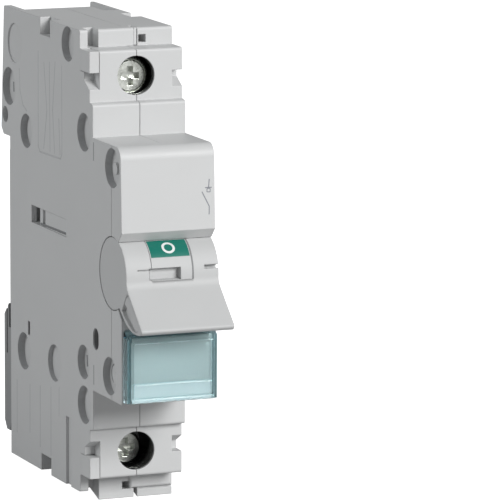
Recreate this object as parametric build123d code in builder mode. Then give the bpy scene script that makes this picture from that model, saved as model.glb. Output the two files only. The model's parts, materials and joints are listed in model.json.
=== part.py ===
"""DIN rail switch disconnector, one pole, one module wide.

Millimetres. X runs across the module, -Y faces the user, +Z is up. The origin lies on
the plane that rests against the rail, half way up the rail and half way across the module.
"""

from build123d import *
from math import cos, radians, sin
import os

os.makedirs("parts", exist_ok=True)

# Housing outline, depths measured from the rail plane to the front
module_width = 17.5
body_height = 83.2
rear_top_depth = 2.9
rear_low_depth = 4.5
rear_chamfer = 1.2
lip_depth = 37.0
lip_height = 3.2
screw_face_depth = 41.9
screw_face_height = 9.3
shoulder_depth = 43.5
shoulder_slant = 0.2
split_depth = 52.8
nose_depth = 57.7
nose_tilt = 0.6
shoulder_run = 6.5
nose_centre = 0.7
nose_round = 2.2
lower_lip_drop = 1.7
lower_lip_run = 6.0
split_x = 0.1
half_gap = 0.05
edge_round = 0.5
overcut = 1.0

# Rail and the fixed hook above it
rail_height = 35.0
rail_play = 0.5
flange_thickness = 1.0
flange_play = 0.35
hook_half_width = 6.5
hook_thickness = 2.4
hook_reach = 2.3
hook_chamfer = 0.5
seat_relief = 0.2
seat_margin = 0.2

# Back of the top
top_rear_edge = 4.8
top_rear_drop = 1.8
left_side_wall = 1.3
right_side_wall = 0.6
top_strip_width = 2.6
top_strip_depth = 1.1
top_strip_front = 11.0

# Slots in the sides
slot_width = 1.9
tab_height = 4.0
tab_depth = 4.5
tab_fit = 0.1
ramp_height = 2.9
ramp_depth = 2.7
notch_length = 5.2
notch_height = 3.1
notch_depth = 2.0
notch_y = -19.2
window_length = 18.4
window_height = 3.2
window_depth = 2.6
window_mouth_depth = 1.0
window_mouth_length = 3.5
window_undercut = 2.0
window_floor_depth = 0.4
window_dent = (-18.0, -16.7)
window_dent_depth = 1.1
window_centre = (-20.9, 5.1)
side_groove_width = 2.6
side_groove_depth = 0.5
side_groove_y = -30.9
rear_dimple_radius = 1.5
rear_dimple_depth = 2.4
rear_dimple = (2.3, 21.5)
vent_width = 2.8
vent_height = 3.9
vent_depth = 2.8
vent_centre = (-44.9, -12.4)
nick_width = 1.1
nick_height = 2.6
nick_depth = 1.6
nick_centre = (-10.1, -16.4)

# Lips above and below the terminals
lip_groove_width = 2.0
lip_groove_depth = 3.0
lip_groove_inset = 0.4
lip_tab_end = 1.4
lip_gap = 0.7
lip_gap_depth = 2.8
lip_hole_size = 1.4
lip_hole_depth = 3.0
upper_lip_hole = (3.0, 39.65)
lower_lip_hole = (-0.1, -41.0)
ledge_line_z = -41.75
ledge_line_width = 0.3
ledge_line_depth = 0.2

# Front covers and what holds them
tongue_depth = 3.0
tongue_half_height = 2.2
tongue_inset = 2.4
tongue_play = 0.1
cover_pin_radius = 1.1
cover_pin_fit = 0.02
cover_pin_y = -54.0
cover_pin_proud = 1.1
seam_width = 0.15
seam_depth = 0.2

# Rivets through the housing
rivet_radius = 1.2
rivet_fit = 0.03
rivet_head_radius = 2.4
rivet_head_height = 0.2
rivet_tail_radius = 1.9

# Toggle
toggle_axis_depth = 53.2
toggle_radius = 6.4
toggle_fit = 0.15
toggle_side_play = 0.1
toggle_swing = 73.5
bevel_angle = 65.0
hub_half_width = 3.75
hub_play = 0.1
hub_rim_play = 0.02
hub_rear_radius = 3.4
hub_face_angle = 104.0
paddle_root = 4.0
paddle_reach = 16.1
paddle_half_root = 2.66
paddle_root_rise = 2.8
paddle_blend = 2.0
paddle_tip_rise = 1.9
paddle_tip_round = 0.4
paddle_tip_under = (15.9, 0.9)
paddle_belly = ((14.2, -0.63), (11.35, -2.14))
paddle_belly_root = 8.5
paddle_rim = 0.6
paddle_end_depth = 0.7
flag_from = 67.75
flag_to = 101.75
flag_half_width = 3.6
flag_thickness = 0.5
lock_from = 31.5
lock_to = 51.0
lock_depth = 1.3
lock_left = -4.3
lock_right = 1.6
cheek_slot_from = 45.4
cheek_slot_to = 51.6
cheek_slot_start = 6.0
cheek_step_from = 47.6
cheek_step_to = 49.4
cheek_step_depth = 0.35
cheek_step_left = -6.5
axle_radius = 1.3
axle_half_length = 7.0
crank_radius = 6.2
crank_pin_radius = 1.0
crank_end_radius = 1.5
crank_half_width = 1.4
key_height = 1.4
key_half_width = 1.0
key_fit = 0.05
key_root = 0.5

# Contact carriage and contacts
cavity_half_width = 5.6
cavity_front = 45.6
cavity_behind_tip = 4.0
cavity_below_tip = 2.2
cavity_above_bar = 11.0
crank_room = 1.6
fork_room = 0.6
fork_room_front = 49.7
fork_room_rear = 45.0
slide_play = 0.2
fork_half_width = 3.6
fork_front = -49.5
fork_arm = 1.8
fork_slot_end = 1.4
crank_gap_half_width = 1.6
pin_slot_play = 0.25
box_half_length = 4.6
box_room_half_length = 3.0
box_height = 8.0
sill = 1.7
crown_round = 0.8
bar_length = 16.0
bar_width = 5.0
bar_thickness = 1.6
bar_lift = 1.0
bar_end_play = 0.5
bar_corner = 1.0
tip_radius = 1.5
tip_height = 1.0
tip_spacing = 13.0
bridge_y = -30.0
closed_gap = 0.05
fixed_tip_top = -7.0
spring_wire = 0.6
spring_radius = 2.1
spring_gap = 0.02
spring_turns = 4

# Conductor strips
strip_thickness = 1.6
strip_width = 6.0
strip_play = 0.1
strip_y = -12.0
strip_run_drop = 4.8
strip_tip_margin = 0.6
clamp_strip_y = -8.0
lower_clamp_shift = 4.0
jog_drop = 1.5

# Terminals
screw_hole_radius = 3.5
screw_hole_depth = 8.4
screw_room_radius = 4.0
screw_face_wall = 1.2
screw_drop = 0.45
head_radius = 3.05
head_height = 2.5
head_chamfer = 0.4
upper_head_depth = 3.0
lower_head_depth = 5.5
shank_radius = 2.4
shank_play = 0.2
shank_end_gap = 0.05
thread_play = 0.05
cross_width = 1.1
cross_reach = 1.7
cross_depth = 1.3
cage_half_width = 5.4
cage_wall = 1.2
cage_half_height = 4.5
cage_nut = 3.0
cage_front = 13.6
cage_depth = 15.0
cage_travel = 5.5
cage_play = 0.3
cage_round = 0.6
entry_half_width = 5.2
entry_lip = 1.6
entry_slope = 0.5

# Rail clip
clip_thickness = 3.6
clip_play = 0.15
clip_bottom = -37.6
clip_hook_top = -13.7
clip_hook_slant = 2.3
clip_foot_rise = 2.0
clip_foot_rear_rise = 1.6
clip_foot_round = 1.2
clip_foot_front = 0.6
clip_under_flange = 0.4
tongue_height = 3.0
tongue_top = -17.5
channel_top_play = 0.2
wing_half_width = 5.0
wing_depth = 1.8
wing_thickness = 1.4
neck_half_width = 3.2
lever_half_width = 2.6
lever_slot_low = 2.4
lever_slot_high = 4.0
rib_inset = 2.2
rib_from = 0.6
rib_to = 1.2
rib_length = 9.5
clip_spring_length = 7.2
clip_spring_radius = 1.1
clip_spring_wire = 0.4
clip_spring_y = -1.75
clip_spring_gap = 0.05
clip_spring_turns = 7

# Label holder
holder_half_width = 8.4
holder_depth = 2.3
holder_bottom = -21.4
holder_height = 12.8
holder_wall = 0.9
holder_play = 0.05
holder_slope = 1.4
holder_corner = 0.8
holder_band = 1.9
holder_rim = 1.5
knuckle_half_width = 3.75
knuckle_play = 0.15
knuckle_radius = 0.6
knuckle_reach = 0.65
knuckle_room = 0.15
hinge_pin_radius = 0.3
hinge_pin_fit = 0.02
hinge_running_fit = 0.05
card_thickness = 0.3
card_play = 0.2
card_gap = 0.02
card_end_play = 0.1

# Values that follow from the ones above
half_width = module_width / 2
top_z = body_height / 2
lip_z = top_z - lip_height
step_z = lip_z - screw_face_height
hole_height = lip_z - screw_face_height / 2
nose_height = 2 * (step_z - shoulder_run)
recess_z = (rail_height + rail_play) / 2
nose_top = nose_centre + nose_height / 2
nose_bottom = nose_centre - nose_height / 2
axis_y = -toggle_axis_depth
seat_radius = toggle_radius + toggle_fit
rest_angle = toggle_swing / 2
bevel_y = axis_y - seat_radius * cos(radians(bevel_angle))
bevel_rise = seat_radius * sin(radians(bevel_angle))
bevel_run = nose_depth + bevel_y
crank_lift = crank_radius * sin(radians(rest_angle))
pin_y = axis_y + crank_radius * cos(radians(rest_angle))
pin_z = nose_centre + crank_lift
carriage_travel = 2 * crank_lift
bar_bottom = fixed_tip_top + carriage_travel + closed_gap + tip_height
bar_top = bar_bottom + bar_thickness
box_front = bridge_y - box_half_length
box_rear = bridge_y + box_half_length
box_top = bar_top + box_height
front_tip_y = bridge_y - tip_spacing / 2
rear_tip_y = bridge_y + tip_spacing / 2
cage_rear = cage_depth - cage_front
tongue_half_width = half_width - tongue_inset
clip_seat = flange_thickness + flange_play
seat_high = recess_z - hook_reach - seat_margin
seat_low = clip_hook_top + seat_margin
clip_rear = clip_play + clip_thickness
knuckle_z = holder_bottom + knuckle_radius
knuckle_y = -nose_depth - knuckle_reach
holder_inner = holder_half_width - holder_wall
holder_front = -nose_depth - holder_depth

# Plane of the toggle: its x axis runs out along the paddle, at rest in the off position
toggle_plane = Plane(
    origin=(0, axis_y, nose_centre),
    x_dir=(0, -cos(radians(rest_angle)), -sin(radians(rest_angle))),
    z_dir=(-1, 0, 0),
)

# Round pockets in the side walls: name, y and z of the centre, radius and depth
side_pockets = {
    "top_rear": (-2.8, lip_z - 3.15, 3.65, 0.3),
    "lip": (6.1 - lip_depth, lip_z, 3.15, 1.3),
    "rear_high": (0.3, step_z - 2.15, 3.5, 1.3),
    "rear_mid": (-9.0, nose_top - 3.4, 3.15, 1.3),
    "shoulder_high": (4.4 - shoulder_depth, step_z - 5.4, 3.45, 1.3),
    "nose_high": (4.6 - nose_depth, nose_top - 4.0, 3.5, 1.3),
    "rear_low": (-7.4, nose_bottom + 0.75, 3.45, 1.3),
    "middle_low": (-23.6, nose_bottom + 1.4, 3.4, 0.85),
    "shoulder_mid": (4.8 - shoulder_depth, nose_bottom + 4.3, 3.1, 1.3),
    "nose_low": (5.9 - nose_depth, nose_bottom + 4.1, 3.4, 1.3),
    "shoulder_low": (4.4 - shoulder_depth, 3.8 - step_z, 3.45, 1.3),
}
rivet_pockets = ("rear_mid", "shoulder_high", "rear_low", "shoulder_low")
right_pockets = rivet_pockets + ("nose_high", "nose_low")


def side_shape(points, x_from, x_to, mode=Mode.ADD):
    """A closed outline of (y, z) points, given thickness across the module."""
    with BuildSketch(Plane.YZ.offset(x_from)) as outline:
        with BuildLine():
            Polyline(*points, close=True)
        make_face()
    extrude(outline.sketch, amount=x_to - x_from, mode=mode)


def block(x_range, y_range, z_range, mode=Mode.ADD):
    """A straight block or cut between three pairs of limits."""
    size = [high - low for low, high in (x_range, y_range, z_range)]
    middle = [(high + low) / 2 for low, high in (x_range, y_range, z_range)]
    with Locations(tuple(middle)):
        Box(*size, mode=mode)


def cross_rod(y, z, radius, x_from, x_to, mode=Mode.ADD):
    """A round bar or hole that runs across the module."""
    with Locations(Location(((x_from + x_to) / 2, y, z), (0, 90, 0))):
        Cylinder(radius, x_to - x_from, mode=mode)


def depth_rod(x, z, radius, y_from, y_to, mode=Mode.ADD):
    """A round bar or hole that runs from front to back."""
    with Locations(Location((x, (y_from + y_to) / 2, z), (90, 0, 0))):
        Cylinder(radius, y_to - y_from, mode=mode)


def toggle_sector(radius, angle_from, angle_to):
    """A pie slice in the plane of the toggle, angles counted from the paddle."""
    with BuildLine() as slice_edge:
        arc = CenterArc((0, 0), radius, angle_from, angle_to - angle_from)
        Line(arc @ 0, (0, 0))
        Line((0, 0), arc @ 1)
    make_face(slice_edge.edges())


def write(piece, name):
    """Labels a finished piece and writes its file."""
    piece.part.label = name
    export_step(piece.part, f"parts/{name}.step")


def screw_z(sign):
    """Height of a terminal screw: it sits a little below the middle of its hole."""
    return sign * hole_height - screw_drop


def clamp_y(y, sign):
    """Depth of a point of the clamp: the lower one sits further forward, clear of the rail clip."""
    return y if sign > 0 else y - lower_clamp_shift


def cut_terminal(sign):
    """Screw hole, shank guide, cage chamber and wire entry of one terminal; sign is 1 at the top."""
    z = screw_z(sign)
    chamber_front = clamp_y(-cage_front - cage_travel - cage_play, sign)
    chamber_rear = clamp_y(cage_rear + cage_play, sign)
    behind_strip = clamp_y(clamp_strip_y + strip_thickness / 2, sign)
    hole_end = -screw_face_depth + screw_hole_depth
    depth_rod(0, sign * hole_height, screw_hole_radius, -screw_face_depth, hole_end, Mode.SUBTRACT)
    room_front = -screw_face_depth + screw_face_wall
    depth_rod(0, sign * hole_height, screw_room_radius, room_front, hole_end, Mode.SUBTRACT)
    depth_rod(0, z, shank_radius + shank_play, -screw_face_depth, chamber_front + overcut, Mode.SUBTRACT)
    half_x = cage_half_width + cage_play
    half_z = cage_half_height + cage_play
    block((-half_x, half_x), (chamber_front, chamber_rear), (z - half_z, z + half_z), Mode.SUBTRACT)
    inner_z = z + sign * (half_z - entry_slope)
    mouth_front = -top_rear_edge if sign > 0 else behind_strip
    entry = [
        (behind_strip, inner_z), (chamber_rear, inner_z), (chamber_rear, sign * (top_z + overcut)),
        (mouth_front, sign * (top_z + overcut)), (mouth_front, sign * (top_z - entry_lip)),
    ]
    side_shape(entry, -entry_half_width, entry_half_width, Mode.SUBTRACT)


def cut_strip(points):
    """Room for a conductor strip, a little wider than the strip itself."""
    half = strip_width / 2 + strip_play
    side_shape(points, -half, half, Mode.SUBTRACT)


def strip_faces(y, play):
    """Front and back of a strip that stands upright at the depth given."""
    half = strip_thickness / 2 + play
    return y - half, y + half


def upper_strip_outline(play=0.0):
    """Down from the upper terminal, a step forward, then to the rear fixed contact."""
    front, back = strip_faces(strip_y, play)
    clamp_front, clamp_back = strip_faces(clamp_strip_y, play)
    jog_height = screw_z(1) - cage_half_height - jog_drop
    jog_bottom, jog_top = strip_faces(jog_height, play)
    shelf_top = fixed_tip_top - tip_height + play
    shelf_bottom = fixed_tip_top - tip_height - strip_thickness - play
    end = rear_tip_y - tip_radius - play
    high = screw_z(1) + cage_half_height + play
    return [
        (clamp_back, high), (clamp_back, jog_bottom), (back, jog_bottom), (back, shelf_bottom),
        (end, shelf_bottom), (end, shelf_top), (front, shelf_top), (front, jog_top),
        (clamp_front, jog_top), (clamp_front, high),
    ]


def lower_strip_outline(play=0.0):
    """Up from the lower terminal, forward under the contacts and up to the front one."""
    front, back = strip_faces(clamp_y(clamp_strip_y, -1), play)
    thickness = strip_thickness + 2 * play
    shelf_top = fixed_tip_top - tip_height + play
    shelf_bottom = shelf_top - thickness
    run_bottom = shelf_bottom - strip_run_drop - play
    run_top = run_bottom + thickness
    riser_front = front_tip_y - tip_radius - strip_tip_margin - strip_thickness - play
    riser_back = riser_front + thickness
    end = front_tip_y + tip_radius + play
    low = screw_z(-1) - cage_half_height - play
    return [
        (back, low), (back, run_top), (riser_back, run_top), (riser_back, shelf_bottom), (end, shelf_bottom),
        (end, shelf_top), (riser_front, shelf_top), (riser_front, run_bottom), (front, run_bottom),
        (front, low),
    ]


def add_casing(x_from, x_to):
    """The housing behind the front covers, its outer corners rounded."""
    corners = [(-lip_depth, top_z), (-screw_face_depth, lip_z), (-shoulder_depth, step_z)]
    rounded = corners + [(y, -z) for y, z in corners] + [(rear_top_depth, top_z)]
    with BuildSketch(Plane.YZ.offset(x_from)) as outline:
        with BuildLine():
            Polyline(
                (-seat_relief, -top_z), (-lip_depth, -top_z), (-lip_depth, -lip_z),
                (-screw_face_depth, -lip_z), (-screw_face_depth, -step_z - shoulder_slant),
                (-shoulder_depth, -step_z), (-shoulder_depth, nose_bottom), (-split_depth, nose_bottom),
                (-split_depth, nose_top), (-shoulder_depth, nose_top), (-shoulder_depth, step_z),
                (-screw_face_depth, step_z + shoulder_slant), (-screw_face_depth, lip_z),
                (-lip_depth, lip_z), (-lip_depth, top_z), (rear_top_depth, top_z),
                (rear_low_depth, recess_z + rear_chamfer), (rear_low_depth - rear_chamfer, recess_z),
                (-seat_relief, recess_z), (-seat_relief, seat_high), (0, seat_high), (0, seat_low),
                (-seat_relief, seat_low), close=True,
            )
        make_face()
        near = [min(outline.vertices(), key=lambda v: abs(v.X - y) + abs(v.Y - z)) for y, z in rounded]
        fillet(near, edge_round)
    extrude(outline.sketch, amount=x_to - x_from)


def add_rail_hook(x_from, x_to):
    """The fixed hook that reaches down behind the upper edge of the rail."""
    rear = clip_seat + hook_thickness
    tip_z = recess_z - hook_reach
    side_shape(
        [(clip_seat, recess_z + hook_chamfer), (clip_seat, tip_z + hook_chamfer),
         (clip_seat + hook_chamfer, tip_z), (rear - hook_chamfer, tip_z), (rear, tip_z + hook_chamfer),
         (rear, recess_z + hook_chamfer)],
        x_from, x_to,
    )


def add_lower_lip(x_from, x_to):
    """The lower lip hangs a little below the housing."""
    lip_back = -lip_depth + lower_lip_run
    side_shape(
        [(-lip_depth, -lip_z), (-lip_depth, -top_z - lower_lip_drop), (lip_back, -top_z), (lip_back, -lip_z)],
        x_from, x_to,
    )


def lip_ends(x_from, x_to, depth):
    """The ends of the two lips that reach across the middle."""
    with BuildPart() as ends:
        add_casing(x_from, x_to)
        add_lower_lip(x_from, x_to)
        block((x_from, x_to), (-nose_depth, rear_low_depth), (-lip_z, lip_z), Mode.SUBTRACT)
        for low, high in ((-top_z - lower_lip_drop, -lip_z), (lip_z, top_z)):
            block((x_from, x_to), (-lip_depth + depth, rear_low_depth), (low, high), Mode.SUBTRACT)
    return ends.part


def cut_lip_gap(x_from, x_to, depth):
    """The gap in the two lips, where the halves of the housing meet."""
    reach = top_z + lower_lip_drop
    for low, high in ((-reach, -lip_z), (lip_z, reach)):
        block((x_from, x_to), (-lip_depth - overcut, -lip_depth + depth), (low, high), Mode.SUBTRACT)


def cut_lip_hole(hole):
    """A small square hole in the face of a lip."""
    x, z = hole
    half = lip_hole_size / 2
    block((x - half, x + half), (-lip_depth, -lip_depth + lip_hole_depth), (z - half, z + half), Mode.SUBTRACT)


def add_cover_tongues(x_from, x_to):
    """Tongues that reach into the two front covers and take their cross pins."""
    for name in ("nose_high", "nose_low"):
        centre = side_pockets[name][1]
        block(
            (x_from, x_to), (-split_depth - tongue_depth, -split_depth),
            (centre - tongue_half_height, centre + tongue_half_height),
        )
        cross_rod(cover_pin_y, centre, cover_pin_radius, x_from - overcut, x_to + overcut, Mode.SUBTRACT)


def cut_inside():
    """Every hollow that both halves of the housing share."""
    cross_rod(axis_y, nose_centre, seat_radius, -half_width - overcut, half_width + overcut, Mode.SUBTRACT)
    cut_terminal(1)
    cut_terminal(-1)
    block(
        (-cavity_half_width, cavity_half_width), (-cavity_front, rear_tip_y + cavity_behind_tip),
        (fixed_tip_top - tip_height - cavity_below_tip, bar_top + cavity_above_bar), Mode.SUBTRACT,
    )
    slot = hub_half_width + hub_play
    swing = crank_radius + crank_room
    block((-slot, slot), (axis_y, -fork_room_rear), (nose_centre - swing, nose_centre + swing), Mode.SUBTRACT)
    swing += fork_room
    block(
        (-slot, slot), (-fork_room_front, -fork_room_rear), (nose_centre - swing, nose_centre + swing),
        Mode.SUBTRACT,
    )
    cut_strip(upper_strip_outline(strip_play))
    cut_strip(lower_strip_outline(strip_play))
    wing = wing_half_width + clip_play
    neck = neck_half_width + clip_play
    channel = (tongue_top - tongue_height - clip_spring_length, tongue_top + channel_top_play)
    wing_front = -wing_depth - wing_thickness - clip_play
    block((-wing, wing), (wing_front, -wing_depth + clip_play), channel, Mode.SUBTRACT)
    block((-neck, neck), (-wing_depth, overcut), channel, Mode.SUBTRACT)
    for name in rivet_pockets:
        y, z = side_pockets[name][:2]
        cross_rod(y, z, rivet_radius + rivet_fit, -half_width - overcut, half_width + overcut, Mode.SUBTRACT)


def from_face(side, depth):
    """The limits across the module of a cut in one outer side; side is -1 on the left."""
    face = side * half_width
    return sorted((face, face - side * depth))


def cut_side(side):
    """Pockets, notches, slots and the seam groove in one outer side."""
    for name in side_pockets if side < 0 else right_pockets:
        y, z, radius, depth = side_pockets[name]
        cross_rod(y, z, radius, *from_face(side, depth), Mode.SUBTRACT)
    block(
        from_face(side, seam_depth), (-split_depth, -split_depth + seam_width), (nose_bottom, nose_top),
        Mode.SUBTRACT,
    )
    near, far = from_face(side, slot_width)
    for sign in (1, -1):
        step = sorted((sign * (top_z - notch_height), sign * (top_z + lower_lip_drop)))
        notch = (notch_y - notch_length / 2, notch_y + notch_length / 2)
        block(from_face(side, notch_depth), notch, step, Mode.SUBTRACT)
        tab_end = sign * (lip_z - tab_height)
        ramp_end = sign * (lip_z - tab_height - ramp_height)
        ramp_y = -screw_face_depth + ramp_depth
        side_shape(
            [(-screw_face_depth, ramp_end), (-screw_face_depth, tab_end), (ramp_y, tab_end),
             (ramp_y, (tab_end + ramp_end) / 2)],
            near, far, Mode.SUBTRACT,
        )
    groove = (side_groove_y - side_groove_width / 2, side_groove_y + side_groove_width / 2)
    block(from_face(side, side_groove_depth), groove, (-top_z, -step_z), Mode.SUBTRACT)


def cut_top_rear(x_from, x_to):
    """The middle of the top stops short of the back, between the two side walls."""
    block(
        (x_from, x_to), (-top_rear_edge, rear_top_depth + overcut), (top_z - top_rear_drop, top_z + overcut),
        Mode.SUBTRACT,
    )


# Left half of the housing
with BuildPart() as left_casing:
    left_end = split_x - half_gap
    groove_start = -half_width + slot_width - lip_groove_inset
    add_casing(-half_width, left_end)
    add_lower_lip(groove_start + lip_groove_width, left_end)
    add(lip_ends(left_end, lip_tab_end, lip_gap_depth - half_gap))
    add_rail_hook(-hook_half_width, left_end)
    add_cover_tongues(-tongue_half_width, left_end)
    cut_inside()
    cut_side(-1)
    cut_top_rear(-half_width + left_side_wall, split_x)
    cut_lip_hole(lower_lip_hole)
    for sign in (1, -1):
        tab_range = sorted((sign * lip_z, sign * (lip_z - tab_height)))
        block(
            (-half_width - overcut, -half_width + slot_width),
            (-screw_face_depth - overcut, -screw_face_depth + tab_depth), tab_range, Mode.SUBTRACT,
        )
        groove = sorted((sign * lip_z, sign * (top_z + lower_lip_drop)))
        block(
            (groove_start, groove_start + lip_groove_width),
            (-lip_depth, -lip_depth + lip_groove_depth), groove, Mode.SUBTRACT,
        )
    cross_rod(*rear_dimple, rear_dimple_radius, *from_face(-1, rear_dimple_depth), Mode.SUBTRACT)
    y, z = window_centre
    window_front, window_rear = y - window_length / 2, y + window_length / 2
    window_high = (z - window_height / 2, z + window_height / 2)
    mouth_front = window_rear - window_mouth_length
    for depth, long in (
        (window_floor_depth, (window_front, mouth_front)),
        (window_dent_depth, window_dent),
        (window_mouth_depth, (mouth_front, window_rear)),
    ):
        block(from_face(-1, depth), long, window_high, Mode.SUBTRACT)
    block(
        (-half_width + window_mouth_depth, -half_width + window_depth),
        (mouth_front, window_rear + window_undercut), window_high, Mode.SUBTRACT,
    )
    y, z = nick_centre
    nick = (y - nick_width / 2, y + nick_width / 2)
    block(from_face(-1, nick_depth), nick, (z - nick_height / 2, z + nick_height / 2), Mode.SUBTRACT)
    with BuildSketch(Plane.YZ.offset(-half_width)) as vent:
        with Locations(vent_centre):
            SlotOverall(vent_height, vent_width, rotation=90)
    extrude(vent.sketch, amount=vent_depth, mode=Mode.SUBTRACT)

# Right half of the housing
with BuildPart() as right_casing:
    right_start = split_x + half_gap
    add_casing(right_start, half_width)
    add_lower_lip(right_start, half_width)
    add_rail_hook(right_start, hook_half_width)
    add_cover_tongues(right_start, tongue_half_width)
    cut_inside()
    cut_side(1)
    cut_top_rear(split_x, half_width - left_side_wall)
    cut_lip_gap(split_x, lip_tab_end + lip_gap, lip_gap_depth)
    cut_lip_hole(upper_lip_hole)
    block(
        (lip_tab_end, half_width), (-lip_depth, -lip_depth + ledge_line_depth),
        (ledge_line_z - ledge_line_width / 2, ledge_line_z + ledge_line_width / 2), Mode.SUBTRACT,
    )
    strip_end = half_width - right_side_wall
    block(
        (strip_end - top_strip_width, strip_end), (-top_strip_front, rear_top_depth + overcut),
        (top_z - top_strip_depth, top_z + overcut), Mode.SUBTRACT,
    )

write(left_casing, "left_casing")
write(right_casing, "right_casing")


def cover_outline(side):
    """Side view of a front cover; side is 1 for the plate above the toggle."""
    edge = nose_top if side > 0 else nose_bottom
    lean = nose_tilt if side > 0 else 0
    bevel_z = nose_centre + side * bevel_rise
    shown_z = nose_centre + side * (bevel_rise + bevel_run)
    return [
        (-split_depth, edge), (-nose_depth + lean, edge), (-nose_depth, shown_z), (bevel_y, bevel_z),
        (-split_depth, bevel_z),
    ]


def make_cover(side, name):
    """A front cover, hollow behind, with room for the tongue of the housing."""
    y, centre, radius, depth = side_pockets[name]
    side_shape(cover_outline(side), -half_width, half_width)
    cross_rod(axis_y, nose_centre, seat_radius, -half_width - overcut, half_width + overcut, Mode.SUBTRACT)
    inner = tongue_half_width + tongue_play
    half_height = tongue_half_height + tongue_play
    block(
        (-inner, inner), (-split_depth - tongue_depth - tongue_play, -split_depth + overcut),
        (centre - half_height, centre + half_height), Mode.SUBTRACT,
    )
    for face in (-1, 1):
        cross_rod(y, centre, radius, *from_face(face, depth), Mode.SUBTRACT)
    reach = half_width + overcut
    cross_rod(cover_pin_y, centre, cover_pin_radius, -reach, reach, Mode.SUBTRACT)


# Cover plate above the toggle
with BuildPart() as front_plate:
    make_cover(1, "nose_high")
    front_top = front_plate.edges().filter_by(Axis.X).sort_by(lambda e: e.center().Y - e.center().Z)[0]
    fillet(front_top, nose_round)
write(front_plate, "front_plate")

# Cover below the toggle, which carries the label holder
with BuildPart() as label_seat:
    make_cover(-1, "nose_low")
    knuckle = knuckle_half_width - knuckle_play
    cross_rod(knuckle_y, knuckle_z, knuckle_radius, -knuckle, knuckle)
    high = (knuckle_z - knuckle_radius, knuckle_z + knuckle_radius)
    block((-knuckle, knuckle), (knuckle_y, -nose_depth), high)
    bore = hinge_pin_radius + hinge_running_fit
    cross_rod(knuckle_y, knuckle_z, bore, -knuckle - overcut, knuckle + overcut, Mode.SUBTRACT)
write(label_seat, "label_seat")

# Cross pins that hold the covers
for cover, pocket in (("upper", "nose_high"), ("lower", "nose_low")):
    with BuildPart() as cover_pin:
        y, z, radius, depth = side_pockets[pocket]
        reach = half_width - depth + cover_pin_proud
        cross_rod(cover_pin_y, z, cover_pin_radius - cover_pin_fit, -reach, reach)
    write(cover_pin, f"cover_pin_{cover}")

# Rivets that hold the two halves together
for name in rivet_pockets:
    with BuildPart() as rivet:
        y, z, radius, depth = side_pockets[name]
        floor = half_width - depth
        cross_rod(y, z, rivet_radius, -floor, floor)
        cross_rod(y, z, rivet_head_radius, -floor - rivet_head_height, -floor)
        cross_rod(y, z, rivet_tail_radius, floor, floor + rivet_head_height)
    write(rivet, f"rivet_{name}")

# Push-in tabs beside the screw faces
for sign, name in ((1, "upper"), (-1, "lower")):
    with BuildPart() as side_tab:
        low, high = sorted((sign * (lip_z - tab_fit), sign * (lip_z - tab_height + tab_fit)))
        deep = (-screw_face_depth, -screw_face_depth + tab_depth)
        block((-half_width, -half_width + slot_width - tab_fit), deep, (low, high))
    write(side_tab, f"side_tab_{name}")


def cut_drum(angle_from, angle_to, depth, x_from, x_to):
    """A pocket in the round face of the drum."""
    with BuildSketch(toggle_plane.offset(-x_to)) as pocket:
        toggle_sector(toggle_radius + overcut, angle_from, angle_to)
        Circle(toggle_radius - depth, mode=Mode.SUBTRACT)
    extrude(pocket.sketch, amount=x_to - x_from, mode=Mode.SUBTRACT)


def paddle_face(inset=0.0):
    """Side view of the paddle in the plane of the toggle, or of the hollow in its end."""
    half = paddle_half_root - inset
    tip_x, tip_y = paddle_tip_under
    if inset:
        root_edge = [(toggle_radius + inset, -half), (toggle_radius + inset, half)]
    else:
        root_edge = [(paddle_root, -half), (paddle_root, paddle_root_rise)]
    with BuildLine() as edge:
        top_edge = Polyline(
            *root_edge, (paddle_reach - 2 * inset, paddle_tip_rise - inset), (tip_x - 2 * inset, tip_y),
        )
        belly = [(x, y + inset) for x, y in paddle_belly]
        underside = Spline(top_edge @ 1, *belly, (paddle_belly_root, -half))
        Line(underside @ 1, top_edge @ 0)
    make_face(edge.edges())


# Toggle: a drum across the module with the paddle on it
with BuildPart() as toggle:
    with BuildSketch(toggle_plane) as section:
        Circle(toggle_radius)
        paddle_face()
        crease = min(section.vertices(), key=lambda v: abs(v.X - toggle_radius) + abs(v.Y - paddle_root_rise))
        fillet(crease, paddle_blend)
    toggle_end = half_width - toggle_side_play
    extrude(section.sketch, amount=toggle_end, both=True)
    tip_edges = toggle.edges().filter_by(Axis.X).sort_by(lambda e: e.center().Y)[:2]
    fillet(tip_edges, paddle_tip_round)
    for side in (-1, 1):
        with BuildSketch(toggle_plane.offset(side * toggle_end)) as hollow:
            paddle_face(paddle_rim)
        extrude(hollow.sketch, amount=-side * paddle_end_depth, mode=Mode.SUBTRACT)
    with BuildSketch(toggle_plane) as middle:
        Circle(toggle_radius + hub_rim_play)
        with Locations((toggle_radius + key_height / 2, 0)):
            Rectangle(key_height + 2 * key_fit, 2 * (key_half_width + key_fit))
    extrude(middle.sketch, amount=hub_half_width + hub_play, both=True, mode=Mode.SUBTRACT)
    cross_rod(axis_y, nose_centre, axle_radius, -axle_half_length, axle_half_length, Mode.SUBTRACT)
    cut_drum(lock_from, lock_to, lock_depth, lock_left, lock_right)
    cut_drum(cheek_slot_from, cheek_slot_to, lock_depth, cheek_slot_start, half_width)
    cut_drum(cheek_step_from, cheek_step_to, cheek_step_depth, cheek_step_left, lock_left)
write(toggle, "toggle")

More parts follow.
